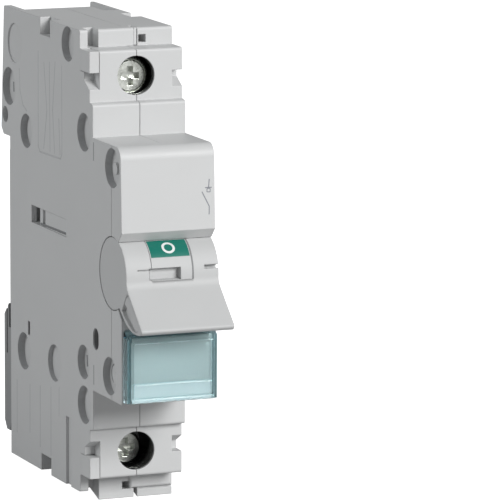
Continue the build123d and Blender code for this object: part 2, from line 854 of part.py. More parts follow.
# Hub between the cheeks of the toggle, with the crank at its back
with BuildPart() as toggle_hub:
    with BuildSketch(toggle_plane) as section:
        toggle_sector(toggle_radius, -hub_face_angle, hub_face_angle)
        Circle(hub_rear_radius)
    extrude(section.sketch, amount=hub_half_width, both=True)
    with BuildSketch(toggle_plane) as arm:
        with Locations((-crank_radius / 2, 0)):
            Rectangle(crank_radius, 2 * crank_end_radius)
        with Locations((-crank_radius, 0)):
            Circle(crank_end_radius)
        with Locations((toggle_radius + (key_height - key_root) / 2, 0)):
            Rectangle(key_height + key_root, 2 * key_half_width)
    extrude(arm.sketch, amount=crank_half_width, both=True)
    cross_rod(axis_y, nose_centre, axle_radius, -axle_half_length, axle_half_length, Mode.SUBTRACT)
    cross_rod(pin_y, pin_z, crank_pin_radius, -hub_half_width, hub_half_width, Mode.SUBTRACT)
    for low, high in ((flag_from, flag_to), (-flag_to, -flag_from)):
        cut_drum(low, high, flag_thickness, -flag_half_width, flag_half_width)
    cut_drum(lock_from, lock_to, lock_depth, lock_left, lock_right)
write(toggle_hub, "toggle_hub")

# Coloured flags let into the hub
for name, low, high in (("off_flag", flag_from, flag_to), ("on_flag", -flag_to, -flag_from)):
    with BuildPart() as flag:
        with BuildSketch(toggle_plane) as section:
            toggle_sector(toggle_radius, low, high)
            Circle(toggle_radius - flag_thickness, mode=Mode.SUBTRACT)
        extrude(section.sketch, amount=flag_half_width, both=True)
    write(flag, name)

# Axle through toggle and hub
with BuildPart() as toggle_axle:
    cross_rod(axis_y, nose_centre, axle_radius, -axle_half_length, axle_half_length)
write(toggle_axle, "toggle_axle")

# Crank pin that drives the carriage
with BuildPart() as crank_pin:
    cross_rod(pin_y, pin_z, crank_pin_radius, -fork_half_width, fork_half_width)
write(crank_pin, "crank_pin")

# Carriage: fork at the front, spring box at the back
with BuildPart() as contact_carriage:
    slot_half_height = crank_pin_radius + pin_slot_play
    fork_half_height = slot_half_height + fork_arm
    side_shape(
        [(fork_front, pin_z - fork_half_height), (box_front, pin_z - fork_half_height),
         (box_front, bar_bottom - sill), (box_rear, bar_bottom - sill), (box_rear, box_top),
         (box_front, box_top), (box_front, pin_z + fork_half_height), (fork_front, pin_z + fork_half_height)],
        -fork_half_width, fork_half_width,
    )
    block(
        (-fork_half_width, fork_half_width), (fork_front - overcut, pin_y + crank_pin_radius + fork_slot_end),
        (pin_z - slot_half_height, pin_z + slot_half_height), Mode.SUBTRACT,
    )
    block(
        (-crank_gap_half_width, crank_gap_half_width), (fork_front - overcut, -fork_room_rear),
        (pin_z - fork_half_height, pin_z + fork_half_height), Mode.SUBTRACT,
    )
    bar_room = bar_width / 2 + slide_play / 2
    block(
        (-bar_room, bar_room), (bridge_y - box_room_half_length, bridge_y + box_room_half_length),
        (bar_bottom, box_top - sill), Mode.SUBTRACT,
    )
    bar_front = bridge_y - bar_length / 2 - bar_end_play
    side_shape(
        [(bar_front, bar_bottom - tip_height), (box_front, bar_bottom - tip_height), (box_front, bar_bottom),
         (box_rear + overcut, bar_bottom), (box_rear + overcut, bar_top + bar_lift),
         (bar_front, bar_top + bar_lift)],
        -bar_room, bar_room, Mode.SUBTRACT,
    )
    for side in (-1, 1):
        near, far = sorted((side * fork_half_width, side * (cavity_half_width - slide_play)))
        block((near, far), (box_front, box_rear), (bar_bottom - sill, box_top))
    crown = contact_carriage.edges().filter_by(Axis.X).group_by(Axis.Z)[-1]
    fillet(crown, crown_round)
write(contact_carriage, "contact_carriage")

# Moving bridge with its two contact tips
with BuildPart() as contact_bridge:
    long = (bridge_y - bar_length / 2, bridge_y + bar_length / 2)
    block((-bar_width / 2, bar_width / 2), long, (bar_bottom, bar_top))
    fillet(contact_bridge.edges().filter_by(Axis.Z), bar_corner)
write(contact_bridge, "contact_bridge")

for name, y in (("front", front_tip_y), ("rear", rear_tip_y)):
    with BuildPart() as moving_tip:
        with Locations((0, y, bar_bottom - tip_height / 2)):
            Cylinder(tip_radius, tip_height)
    write(moving_tip, f"moving_tip_{name}")
    with BuildPart() as fixed_tip:
        with Locations((0, y, fixed_tip_top - tip_height / 2)):
            Cylinder(tip_radius, tip_height)
    write(fixed_tip, f"fixed_tip_{name}")


def coil(y, bottom, height, radius, wire, turns):
    """A compression spring of square wire with its axis upright."""
    rise = height - wire
    with BuildLine() as centre_line:
        path = Helix(pitch=rise / turns, height=rise, radius=radius, center=(0, y, bottom + wire / 2))
    with BuildSketch(Plane(origin=path @ 0, x_dir=(1, 0, 0), z_dir=path % 0)) as section:
        Rectangle(wire, wire)
    sweep(section.sketch, path=centre_line.wires()[0], is_frenet=True)


# Spring that presses the bridge down
with BuildPart() as contact_spring:
    room = box_top - sill - bar_top - 2 * spring_gap
    coil(bridge_y, bar_top + spring_gap, room, spring_radius, spring_wire, spring_turns)
write(contact_spring, "contact_spring")

# Conductor strips
for name, outline in (("upper", upper_strip_outline()), ("lower", lower_strip_outline())):
    with BuildPart() as strip:
        side_shape(outline, -strip_width / 2, strip_width / 2)
    write(strip, f"{name}_strip")

# Clamp cages and screws
for name, sign, head_depth in (("upper", 1, upper_head_depth), ("lower", -1, lower_head_depth)):
    z = screw_z(sign)
    with BuildPart() as cage:
        high = (z - cage_half_height, z + cage_half_height)
        front, rear = clamp_y(-cage_front, sign), clamp_y(cage_rear, sign)
        block((-cage_half_width, cage_half_width), (front, rear), high)
        inner = cage_half_width - cage_wall
        block((-inner, inner), (front + cage_nut, rear - cage_wall), high, Mode.SUBTRACT)
        depth_rod(0, z, shank_radius + thread_play, front, front + cage_nut + overcut, Mode.SUBTRACT)
        fillet(cage.edges().filter_by(Axis.Z).group_by(Axis.Y)[0], cage_round)
    write(cage, f"{name}_cage")
    with BuildPart() as screw:
        head_front = -screw_face_depth + head_depth
        head_back = head_front + head_height
        depth_rod(0, z, head_radius, head_front, head_back)
        chamfer(screw.edges().filter_by(GeomType.CIRCLE).sort_by(Axis.Y)[0], head_chamfer)
        shank_end = clamp_y(clamp_strip_y, sign) - strip_thickness / 2 - shank_end_gap
        depth_rod(0, z, shank_radius, head_back, shank_end)
        for turn in (0, 90):
            with Locations(Location((0, head_front, z), (0, turn, 0))):
                Box(cross_width, 2 * cross_depth, 2 * cross_reach, mode=Mode.SUBTRACT)
    write(screw, f"{name}_screw")

# Rail clip: a plate across the back, a hook for the rail and a tongue in the housing
with BuildPart() as rail_clip:
    hook_z = -recess_z - clip_under_flange
    side_shape(
        [(clip_play, clip_bottom + clip_foot_rise), (clip_play, hook_z), (clip_seat, hook_z),
         (clip_seat, clip_hook_top), (clip_rear, clip_hook_top - clip_hook_slant),
         (clip_rear, clip_bottom + clip_foot_rear_rise), (clip_rear - clip_foot_round, clip_bottom),
         (clip_play + clip_foot_front, clip_bottom)],
        -half_width + clip_play, half_width - clip_play,
    )
    tongue = (tongue_top - tongue_height, tongue_top)
    block((-neck_half_width, neck_half_width), (-wing_depth, clip_play), tongue)
    block((-wing_half_width, wing_half_width), (-wing_depth - wing_thickness, -wing_depth), tongue)
    block(
        (-lever_half_width, lever_half_width), (clip_play, clip_rear),
        (clip_bottom + lever_slot_low, clip_bottom + lever_slot_high), Mode.SUBTRACT,
    )
    for side in (-1, 1):
        near, far = sorted((side * (half_width - rib_inset), side * half_width))
        block(
            (near, far), (clip_seat + rib_from, clip_seat + rib_to),
            (clip_hook_top - rib_length, clip_hook_top), Mode.SUBTRACT,
        )
write(rail_clip, "rail_clip")

# Spring that pushes the clip up against the rail
with BuildPart() as clip_spring:
    spring_bottom = tongue_top - tongue_height - clip_spring_length
    height = clip_spring_length - clip_spring_gap
    coil(clip_spring_y, spring_bottom, height, clip_spring_radius, clip_spring_wire, clip_spring_turns)
write(clip_spring, "clip_spring")

# Clear label holder, hinged at its lower edge
with BuildPart() as label_holder:
    back = -nose_depth - holder_play
    top = holder_bottom + holder_height
    side_shape(
        [(back, holder_bottom), (holder_front, holder_bottom), (holder_front, top - holder_slope), (back, top)],
        -holder_half_width, holder_half_width,
    )
    fillet(label_holder.edges().filter_by(Axis.Z).group_by(Axis.Y)[0], holder_corner)
    hinge_edge = label_holder.edges().filter_by(Axis.X).group_by(Axis.Z)[0].sort_by(Axis.Y)[-1]
    fillet(hinge_edge, knuckle_radius - holder_play)
    block(
        (-holder_inner, holder_inner), (holder_front + holder_wall, back),
        (holder_bottom + holder_band, top - holder_rim), Mode.SUBTRACT,
    )
    block(
        (-knuckle_half_width, knuckle_half_width), (knuckle_y - knuckle_radius - knuckle_room, back),
        (holder_bottom, knuckle_z + knuckle_reach), Mode.SUBTRACT,
    )
    bore = hinge_pin_radius + hinge_pin_fit
    cross_rod(knuckle_y, knuckle_z, bore, -holder_inner, holder_inner, Mode.SUBTRACT)
write(label_holder, "label_holder")

# Paper label inside the holder
with BuildPart() as label_card:
    card_front = holder_front + holder_wall + card_gap
    block(
        (-holder_inner + card_play, holder_inner - card_play), (card_front, card_front + card_thickness),
        (holder_bottom + holder_band + card_end_play, top - holder_rim - card_end_play),
    )
write(label_card, "label_card")

# Hinge pin of the label holder
with BuildPart() as label_hinge_pin:
    cross_rod(knuckle_y, knuckle_z, hinge_pin_radius, -holder_inner, holder_inner)
write(label_hinge_pin, "label_hinge_pin")
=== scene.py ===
"""Looks, small signs, light and camera for the switch disconnector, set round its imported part."""

import json
from math import cos, pi, radians, sin

import bmesh
import bpy
from mathutils import Matrix, Vector


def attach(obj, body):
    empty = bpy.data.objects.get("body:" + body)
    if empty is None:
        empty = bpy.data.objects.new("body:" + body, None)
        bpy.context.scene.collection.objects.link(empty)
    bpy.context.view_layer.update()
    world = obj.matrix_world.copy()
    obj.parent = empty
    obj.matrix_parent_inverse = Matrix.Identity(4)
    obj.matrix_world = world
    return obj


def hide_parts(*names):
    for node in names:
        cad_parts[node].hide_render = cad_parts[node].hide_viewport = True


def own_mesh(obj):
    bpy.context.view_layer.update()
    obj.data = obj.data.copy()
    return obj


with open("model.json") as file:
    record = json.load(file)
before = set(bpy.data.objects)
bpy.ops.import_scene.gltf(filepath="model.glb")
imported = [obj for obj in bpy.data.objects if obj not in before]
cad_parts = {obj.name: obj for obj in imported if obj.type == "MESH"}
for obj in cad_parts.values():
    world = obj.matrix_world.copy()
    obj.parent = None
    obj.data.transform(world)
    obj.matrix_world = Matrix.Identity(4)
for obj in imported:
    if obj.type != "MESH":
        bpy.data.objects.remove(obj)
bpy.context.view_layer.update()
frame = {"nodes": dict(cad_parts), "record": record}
mm = 0.001

# Places on the part, in millimetres, as the part has them
left_face = -8.75
pocket_floor, window_floor = -7.45, -8.35
lowest = -43.3
drum_axis = (-53.2, 0.7)
drum_radius = 6.4
rest_angle = 36.75
flag_middle = 84.75
plate_foot = (-57.7, 8.3)
plate_head = (-57.1, 23.3)
hole_height = 33.75
upper_head_height = 33.3
coil_axis, coil_foot = -1.75, -27.7
coil_height, coil_radius, coil_wire, coil_turns = 7.15, 1.1, 0.4, 7

# The label flap and the frame on its face
flap_half_width = 8.4
flap_wall = 0.9
flap_front, flap_back = -60.0, -57.75
flap_foot, flap_head, flap_room_head = -21.4, -8.6, -10.1
flap_slope = 1.4
flap_rounding = 0.38
frame_half_width = 7.85
frame_foot, frame_head, cross_bar = -20.9, -10.45, -18.3
rib_width, rib_rise = 0.5, 0.16

# How far printed signs stand out of the drum and the plate, and how far they go into the plate
drum_print, plate_print, plate_root = 0.02, 0.015, 0.01

# The plates in the paddle's ends: outline along and up in the paddle's own way, and where their faces lie
paddle_end_outline = (
    (6.6, -0.4), (9.0, 0.0), (10.4, 0.45), (10.9, -0.1), (12.3, -0.5), (13.9, -0.3), (15.2, 1.7),
    (7.2, 1.7),
)
paddle_end_reach = (8.2, 8.55)


# Building shader nodes

def node(tree, kind, settings=None, **inputs):
    """Adds a node; each input takes a value or another node's output."""
    made = tree.nodes.new(kind)
    for name, value in (settings or {}).items():
        setattr(made, name, value)
    for name, value in inputs.items():
        plug(tree, made.inputs[name.replace("_", " ")], value)
    return made


def plug(tree, socket, value):
    """Gives a socket a value or a link."""
    if isinstance(value, bpy.types.NodeSocket):
        tree.links.new(value, socket)
    else:
        socket.default_value = value


def maths(tree, operation, first, second=0.0, clamp=False):
    """One sum of two numbers."""
    made = node(tree, "ShaderNodeMath", {"operation": operation, "use_clamp": clamp})
    plug(tree, made.inputs[0], first)
    plug(tree, made.inputs[1], second)
    return made.outputs[0]


def mix_colour(tree, share, first, second):
    """Goes from the first colour to the second."""
    made = node(tree, "ShaderNodeMix", {"data_type": "RGBA"})
    plug(tree, made.inputs[0], share)
    plug(tree, made.inputs[6], first)
    plug(tree, made.inputs[7], second)
    return made.outputs[2]


def remap(tree, value, low, high, to_low=0.0, to_high=1.0):
    """Stretches a range of values smoothly to another."""
    made = node(
        tree, "ShaderNodeMapRange", {"interpolation_type": "SMOOTHSTEP"},
        Value=value, From_Min=low, From_Max=high, To_Min=to_low, To_Max=to_high,
    )
    return made.outputs[0]


def group(name, inputs, outputs):
    """An empty node group with its sockets, and its two end nodes."""
    tree = bpy.data.node_groups.new(name, "ShaderNodeTree")
    for label, kind, value in inputs:
        socket = tree.interface.new_socket(label, in_out="INPUT", socket_type=f"NodeSocket{kind}")
        socket.default_value = value
    for label, kind in outputs:
        tree.interface.new_socket(label, in_out="OUTPUT", socket_type=f"NodeSocket{kind}")
    return tree, tree.nodes.new("NodeGroupInput"), tree.nodes.new("NodeGroupOutput")


def moulding_group():
    """Fine spark-eroded grain and slow changes of tone in a moulded surface."""
    tree, given, result = group(
        "moulded_surface",
        [("Colour", "Color", (0.6, 0.6, 0.6, 1)), ("Grain size", "Float", 0.12),
         ("Tone change", "Float", 0.04), ("Roughness", "Float", 0.5)],
        [("Colour", "Color"), ("Roughness", "Float"), ("Height", "Float")],
    )
    place = node(tree, "ShaderNodeTexCoord").outputs["Object"]
    scale = maths(tree, "DIVIDE", 1 / mm, given.outputs["Grain size"])
    grain = node(tree, "ShaderNodeTexNoise", Vector=place, Scale=scale, Detail=3.0, Roughness=0.6)
    slow = node(tree, "ShaderNodeTexNoise", Vector=place, Scale=70.0, Detail=3.0, Roughness=0.55)
    wave = maths(tree, "SUBTRACT", slow.outputs[0], 0.5)
    drift = maths(tree, "MULTIPLY", wave, given.outputs["Tone change"])
    speck = maths(tree, "MULTIPLY", maths(tree, "SUBTRACT", grain.outputs[0], 0.5), 0.03)
    level = maths(tree, "ADD", maths(tree, "ADD", drift, speck), 1.0)
    tone = node(tree, "ShaderNodeVectorMath", {"operation": "SCALE"})
    plug(tree, tone.inputs[0], given.outputs["Colour"])
    plug(tree, tone.inputs["Scale"], level)
    sheen = maths(tree, "MULTIPLY", wave, 0.25)
    rough = maths(tree, "ADD", given.outputs["Roughness"], sheen, clamp=True)
    plug(tree, result.inputs["Colour"], tone.outputs[0])
    plug(tree, result.inputs["Roughness"], rough)
    plug(tree, result.inputs["Height"], grain.outputs[0])
    return tree


def edge_group():
    """Softened normals at sharp edges, and a mask of those edges."""
    tree, given, result = group(
        "soft_edge", [("Radius", "Float", 0.0002)], [("Normal", "Vector"), ("Edge", "Float")],
    )
    soft = node(tree, "ShaderNodeBevel", {"samples": 8}, Radius=given.outputs["Radius"])
    plain = node(tree, "ShaderNodeNewGeometry").outputs["Normal"]
    facing = node(tree, "ShaderNodeVectorMath", {"operation": "DOT_PRODUCT"})
    plug(tree, facing.inputs[0], soft.outputs[0])
    plug(tree, facing.inputs[1], plain)
    plug(tree, result.inputs["Normal"], soft.outputs[0])
    plug(tree, result.inputs["Edge"], remap(tree, facing.outputs["Value"], 0.985, 0.8))
    return tree


def metal_group():
    """Plated or drawn metal: fine scratches along one way and cloudy tone."""
    tree, given, result = group(
        "worked_metal",
        [("Colour", "Color", (0.6, 0.6, 0.6, 1)), ("Dark colour", "Color", (0.3, 0.3, 0.3, 1)),
         ("Roughness", "Float", 0.3)],
        [("Colour", "Color"), ("Roughness", "Float"), ("Height", "Float")],
    )
    place = node(tree, "ShaderNodeTexCoord").outputs["Object"]
    drawn = node(tree, "ShaderNodeMapping", Vector=place, Scale=(300.0, 4000.0, 4000.0)).outputs[0]
    scratch = node(tree, "ShaderNodeTexNoise", Vector=drawn, Scale=1.0, Detail=3.0)
    cloud = node(tree, "ShaderNodeTexNoise", Vector=place, Scale=900.0, Detail=4.0, Roughness=0.65)
    patch = remap(tree, cloud.outputs[0], 0.42, 0.62)
    colour = mix_colour(tree, patch, given.outputs["Dark colour"], given.outputs["Colour"])
    change = maths(tree, "MULTIPLY", maths(tree, "SUBTRACT", cloud.outputs[0], 0.5), 0.3)
    rough = maths(tree, "ADD", given.outputs["Roughness"], change, clamp=True)
    plug(tree, result.inputs["Colour"], colour)
    plug(tree, result.inputs["Roughness"], rough)
    plug(tree, result.inputs["Height"], scratch.outputs[0])
    return tree


moulded_surface = moulding_group()
soft_edge = edge_group()
worked_metal = metal_group()


def use_group(tree, source, **inputs):
    """Places a group in a material."""
    made = tree.nodes.new("ShaderNodeGroup")
    made.node_tree = source
    for name, value in inputs.items():
        plug(tree, made.inputs[name.replace("_", " ")], value)
    return made


def fresh(name):
    """A new material with its tree, shader and output, ready for nodes."""
    material = bpy.data.materials.new(name)
    material.use_nodes = True
    return material, material.node_tree, material.node_tree.nodes["Principled BSDF"]


def moulding(name, colour, rough, grain=0.12, grain_depth=0.00001, edge_radius=0.0002, edge_highlight=1.08):
    """A moulded plastic with grain (its size in millimetres), soft edges and a painted highlight that
    lightens its edges.
    """
    material, tree, shader = fresh(name)
    surface = use_group(
        tree, moulded_surface, Colour=(*colour, 1), Grain_size=grain, Tone_change=0.05, Roughness=rough,
    )
    edge = use_group(tree, soft_edge, Radius=edge_radius)
    # Painted highlight: the colour is raised along the edge mask so that the edges look lit
    edge_highlight_colour = (*(min(1.0, channel * edge_highlight) for channel in colour), 1)
    share = maths(tree, "MULTIPLY", edge.outputs["Edge"], 0.5)
    mixed = mix_colour(tree, share, surface.outputs["Colour"], edge_highlight_colour)
    plug(tree, shader.inputs["Base Color"], mixed)
    plug(tree, shader.inputs["Roughness"], surface.outputs["Roughness"])
    bump = node(
        tree, "ShaderNodeBump", Strength=0.35, Distance=grain_depth, Height=surface.outputs["Height"],
        Normal=edge.outputs["Normal"],
    )
    plug(tree, shader.inputs["Normal"], bump.outputs[0])
    return material


def metal(name, colour, dark, rough, scratch_depth=0.000004, edge_radius=0.00012):
    """A bare or plated metal."""
    material, tree, shader = fresh(name)
    surface = use_group(tree, worked_metal, Colour=(*colour, 1), Dark_colour=(*dark, 1), Roughness=rough)
    edge = use_group(tree, soft_edge, Radius=edge_radius)
    shader.inputs["Metallic"].default_value = 1.0
    plug(tree, shader.inputs["Base Color"], surface.outputs["Colour"])
    plug(tree, shader.inputs["Roughness"], surface.outputs["Roughness"])
    bump = node(
        tree, "ShaderNodeBump", Strength=0.5, Distance=scratch_depth, Height=surface.outputs["Height"],
        Normal=edge.outputs["Normal"],
    )
    plug(tree, shader.inputs["Normal"], bump.outputs[0])
    return material


def clear_moulding(name, colour, rough):
    """The clear, faintly blue green plastic of the label flap."""
    material, tree, shader = fresh(name)
    surface = use_group(
        tree, moulded_surface, Colour=(*colour, 1), Grain_size=0.6, Tone_change=0.03, Roughness=rough,
    )
    plug(tree, shader.inputs["Base Color"], surface.outputs["Colour"])
    shader.inputs["Roughness"].default_value = rough
    shader.inputs["IOR"].default_value = 1.49
    shader.inputs["Transmission Weight"].default_value = 1.0
    bump = node(tree, "ShaderNodeBump", Strength=0.1, Distance=0.000004, Height=surface.outputs["Height"])
    plug(tree, shader.inputs["Normal"], bump.outputs[0])
    depth = node(tree, "ShaderNodeVolumeAbsorption", Color=(0.05, 0.80, 0.93, 1), Density=150.0)
    tree.links.new(depth.outputs[0], tree.nodes["Material Output"].inputs["Volume"])
    return material


housing_grey, toggle_grey = (0.60, 0.605, 0.605), (0.545, 0.55, 0.55)
finishes = {
    "housing_plastic": moulding("housing_plastic", housing_grey, 0.5),
    "toggle_plastic": moulding(
        "toggle_plastic", toggle_grey, 0.58, grain=0.2, grain_depth=0.000004, edge_radius=0.0004,
    ),
    "green_flag": moulding("green_flag", (0.002, 0.175, 0.13), 0.4, grain_depth=0.000003, edge_highlight=1.2),
    "red_flag": moulding("red_flag", (0.55, 0.012, 0.012), 0.4, grain_depth=0.000003, edge_highlight=1.2),
    "carriage_plastic": moulding("carriage_plastic", (0.03, 0.03, 0.033), 0.45),
    "clip_plastic": moulding("clip_plastic", (0.31, 0.315, 0.32), 0.5),
    "label_paper": moulding("label_paper", (0.90, 0.90, 0.88), 0.8, grain=0.08, edge_highlight=1.0),
    "rivet_steel": moulding("painted_steel", housing_grey, 0.45, grain=0.3, grain_depth=0.000004),
    "zinc_steel": metal("zinc_steel", (0.80, 0.82, 0.77), (0.62, 0.64, 0.59), 0.3),
    "spring_steel": metal("spring_steel", (0.45, 0.45, 0.46), (0.3, 0.3, 0.3), 0.3),
    "copper": metal("copper", (0.86, 0.45, 0.3), (0.6, 0.28, 0.17), 0.32),
    "silver_tip": metal("silver_tip", (0.85, 0.84, 0.81), (0.6, 0.59, 0.57), 0.3),
    "clear_plastic": clear_moulding("clear_plastic", (0.96, 0.99, 0.99), 0.03),
}
for part in frame["record"]["subparts"]:
    for slot in frame["nodes"][part["node"]].material_slots:
        slot.material = finishes[part["material_slot"]]

# The toggle's hub has sharper edges than the rest of the toggle
hub_plastic = moulding(
    "hub_plastic", toggle_grey, 0.58, grain=0.2, grain_depth=0.000004, edge_radius=0.00008,
)
for slot in frame["nodes"]["toggle_hub"].material_slots:
    slot.material = hub_plastic


# Building meshes, in millimetres

def points(mesh, places):
    """New points of a mesh."""
    return [mesh.verts.new(Vector(place) * mm) for place in places]


def skin(mesh, rows, joined=False, capped=False):
    """Faces between rows of points; the last row may join the first one, or both end rows be closed."""
    following = rows[1:] + rows[:1] if joined else rows[1:]
    for row, after in zip(rows, following):
        for corner, point in enumerate(row):
            ahead = (corner + 1) % len(row)
            mesh.faces.new((point, row[ahead], after[ahead], after[corner]))
    if capped:
        mesh.faces.new(rows[0])
        mesh.faces.new(rows[-1])


def outward(mesh):
    """Turns all faces of a finished mesh outward."""
    bmesh.ops.recalc_face_normals(mesh, faces=mesh.faces)
    return mesh


def whole_turn(steps):
    """The angles of a full circle."""
    return [2 * pi * step / steps for step in range(steps)]


def round_edges(mesh, wanted, size, steps):
    """Rounds the edges whose middle fits."""
    edges = [edge for edge in mesh.edges if wanted((edge.verts[0].co + edge.verts[1].co) / 2 / mm)]
    bmesh.ops.bevel(
        mesh, geom=edges, offset=size * mm, offset_type="OFFSET", segments=steps, profile=0.5,
        affect="EDGES", clamp_overlap=True,
    )


def bar(low, high, size, steps, wanted=lambda place: True):
    """A bar between two opposite corners, with the wanted edges rounded."""
    mesh = bmesh.new()
    bmesh.ops.create_cube(mesh, size=1)
    middle, span = (Vector(low) + Vector(high)) / 2, Vector(high) - Vector(low)
    for vert in mesh.verts:
        vert.co = (middle + Vector([a * b for a, b in zip(vert.co, span)])) * mm
    round_edges(mesh, wanted, size, steps)
    return mesh


def piece(name, mesh, body, material):
    """Links a finished mesh as a piece that rides on a body, with its finish."""
    data = bpy.data.meshes.new(name)
    mesh.to_mesh(data)
    mesh.free()
    made = bpy.data.objects.new(name, data)
    bpy.context.collection.objects.link(made)
    data.materials.append(material)
    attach(made, body)
    return made


# Signs on the toggle, and the plates in its ends

def drum_point(angle, along, across, rise):
    """A point on the drum's round face: angle in degrees from the paddle, and three offsets."""
    turn = radians(angle - rest_angle) + along / drum_radius
    radius = drum_radius + rise
    return Vector((across, drum_axis[0] - radius * cos(turn), drum_axis[1] + radius * sin(turn)))


def sign_ring(angle, inner, outer, steps=64):
    """A printed ring that lies on the drum."""
    mesh = bmesh.new()
    section = ((inner, 0), (inner, drum_print), (outer, drum_print), (outer, 0))
    rows = [
        points(mesh, (drum_point(angle, size * sin(turn), size * cos(turn), up) for size, up in section))
        for turn in whole_turn(steps)
    ]
    skin(mesh, rows, joined=True)
    return outward(mesh)


def sign_bar(angle, length, width, steps=12, middle=0.0):
    """A printed bar that lies along the drum, with its middle a way across from the drum's."""
    mesh = bmesh.new()
    left, right = middle - width / 2, middle + width / 2
    section = ((left, 0), (left, drum_print), (right, drum_print), (right, 0))
    places = [length * (step / steps - 0.5) for step in range(steps + 1)]
    rows = [points(mesh, (drum_point(angle, along, x, up) for x, up in section)) for along in places]
    skin(mesh, rows, capped=True)
    return outward(mesh)


def paddle_end(side):
    """The plate that fills most of the hollow at one end of the paddle."""
    mesh = bmesh.new()
    lean = radians(rest_angle)
    outline = [
        (
            drum_axis[0] - cos(lean) * along - sin(lean) * up,
            drum_axis[1] - sin(lean) * along + cos(lean) * up,
        )
        for along, up in paddle_end_outline
    ]
    rows = [points(mesh, ((side * x, y, z) for y, z in outline)) for x in paddle_end_reach]
    skin(mesh, rows, capped=True)
    return outward(mesh)


white_print = moulding("white_print", (0.82, 0.84, 0.83), 0.5, grain_depth=0.000002, edge_radius=0.00004)
off_ring = sign_ring(flag_middle, inner=0.78, outer=1.22)
on_bar = sign_bar(-flag_middle, length=2.6, width=0.5)
piece("off_sign", off_ring, "toggle", white_print)
piece("on_sign", on_bar, "toggle", white_print)
piece("paddle_end_left", paddle_end(-1), "toggle", hub_plastic)
piece("paddle_end_right", paddle_end(1), "toggle", hub_plastic)


# Contact symbol on the plate above the toggle

def on_plate(x, z, proud):
    """A point on the leaning face of the plate."""
    (foot_y, foot_z), (head_y, head_z) = plate_foot, plate_head
    y = foot_y + (head_y - foot_y) * (z - foot_z) / (head_z - foot_z)
    return Vector((x, y - proud, z))


def strip_corners(start, end, width, past=0.0):
    """The four corners of a flat straight strip, which may go a bit past its start and its end."""
    way = (Vector(end) - Vector(start)).normalized()
    beside = Vector((-way.y, way.x)) * width / 2
    first, last = Vector(start) - way * past, Vector(end) + way * past
    return first + beside, first - beside, last - beside, last + beside


def plate_lines(lines):
    """Printed lines on the plate; each goes from one (across, height) to another."""
    mesh = bmesh.new()
    for start, end, width in lines:
        corners = strip_corners(start, end, width)
        back = points(mesh, (on_plate(*corner, -plate_root) for corner in corners))
        front = points(mesh, (on_plate(*corner, plate_print) for corner in corners))
        skin(mesh, [back, front])
        mesh.faces.new(front)
    return outward(mesh)


# The usual symbol of a switch disconnector: start, end and width of each line
broad_line, narrow_line = 0.17, 0.136
symbol_lines = (
    ((7.75, 17.1), (7.6, 15.65), broad_line), ((6.95, 15.62), (8.2, 15.62), broad_line),
    ((7.3, 15.45), (7.9, 15.45), narrow_line), ((7.9, 15.45), (7.9, 14.85), narrow_line),
    ((7.9, 14.85), (7.3, 14.85), narrow_line), ((7.3, 14.85), (7.3, 15.45), narrow_line),
    ((6.35, 14.95), (7.7, 12.3), broad_line), ((7.7, 12.3), (7.64, 10.9), broad_line),
)
grey_print = moulding("grey_print", (0.24, 0.25, 0.28), 0.6, grain_depth=0.000002, edge_radius=0.00004)
piece("contact_symbol", plate_lines(symbol_lines), "housing", grey_print)


# Clear label flap with rounded edges, the glowing pale strip at its foot, which is painted light, and the
# frame on its face

def label_flap():
    """The flap: a front wall, two side walls and a sloped head, open at the back and the foot."""
    half, inner = flap_half_width, flap_half_width - flap_wall
    front, back, wall = flap_front, flap_back, flap_front + flap_wall
    corners = {}
    for side, sign in (("l", -1), ("r", 1)):
        corners.update({
            f"{side}_front_foot": (sign * half, front, flap_foot),
            f"{side}_front_head": (sign * half, front, flap_head - flap_slope),
            f"{side}_back_foot": (sign * half, back, flap_foot),
            f"{side}_back_head": (sign * half, back, flap_head),
            f"{side}_inner_foot": (sign * inner, back, flap_foot),
            f"{side}_inner_head": (sign * inner, back, flap_head),
            f"{side}_room_head": (sign * inner, back, flap_room_head),
            f"{side}_wall_foot": (sign * inner, wall, flap_foot),
            f"{side}_wall_head": (sign * inner, wall, flap_room_head),
        })
    faces = [
        "l_front_foot r_front_foot r_front_head l_front_head",
        "l_wall_foot r_wall_foot r_wall_head l_wall_head",
        "l_room_head r_room_head r_wall_head l_wall_head",
        "l_room_head r_room_head r_inner_head l_inner_head",
        "l_front_head r_front_head r_back_head r_inner_head l_inner_head l_back_head",
        "l_front_foot r_front_foot r_back_foot r_inner_foot "
        "r_wall_foot l_wall_foot l_inner_foot l_back_foot",
    ]
    for side in "lr":
        faces += [
            f"{side}_front_foot {side}_back_foot {side}_back_head {side}_front_head",
            f"{side}_inner_foot {side}_wall_foot {side}_wall_head {side}_room_head",
            f"{side}_back_foot {side}_inner_foot {side}_room_head {side}_inner_head {side}_back_head",
        ]
    mesh = bmesh.new()
    placed = dict(zip(corners, points(mesh, corners.values())))
    for face in faces:
        mesh.faces.new([placed[name] for name in face.split()])
    outward(mesh)

    def outer(place):
        on_front = place.y < front + 0.01
        on_side_head = abs(place.x) > half - 0.01 and place.z > flap_head - flap_slope
        return place.y < back and (on_front or on_side_head)

    round_edges(mesh, outer, flap_rounding, 3)
    return mesh


def flap_frame():
    """A low clear frame round the face of the flap, with a cross bar above its foot."""
    mesh = bmesh.new()
    near, far = flap_front - 0.005, flap_front - rib_rise
    section = ((0, near), (rib_width * 0.3, far), (rib_width * 0.7, far), (rib_width, near))
    ring = [
        points(mesh, ((side * (frame_half_width - step), y, z + inward * step) for step, y in section))
        for side, z, inward in (
            (-1, frame_foot, 1), (1, frame_foot, 1), (1, frame_head, -1), (-1, frame_head, -1),
        )
    ]
    skin(mesh, ring, joined=True)
    reach = frame_half_width - rib_width - 0.02
    cross = [points(mesh, ((x, y, cross_bar + step) for step, y in section)) for x in (-reach, reach)]
    skin(mesh, cross, capped=True)
    return outward(mesh)


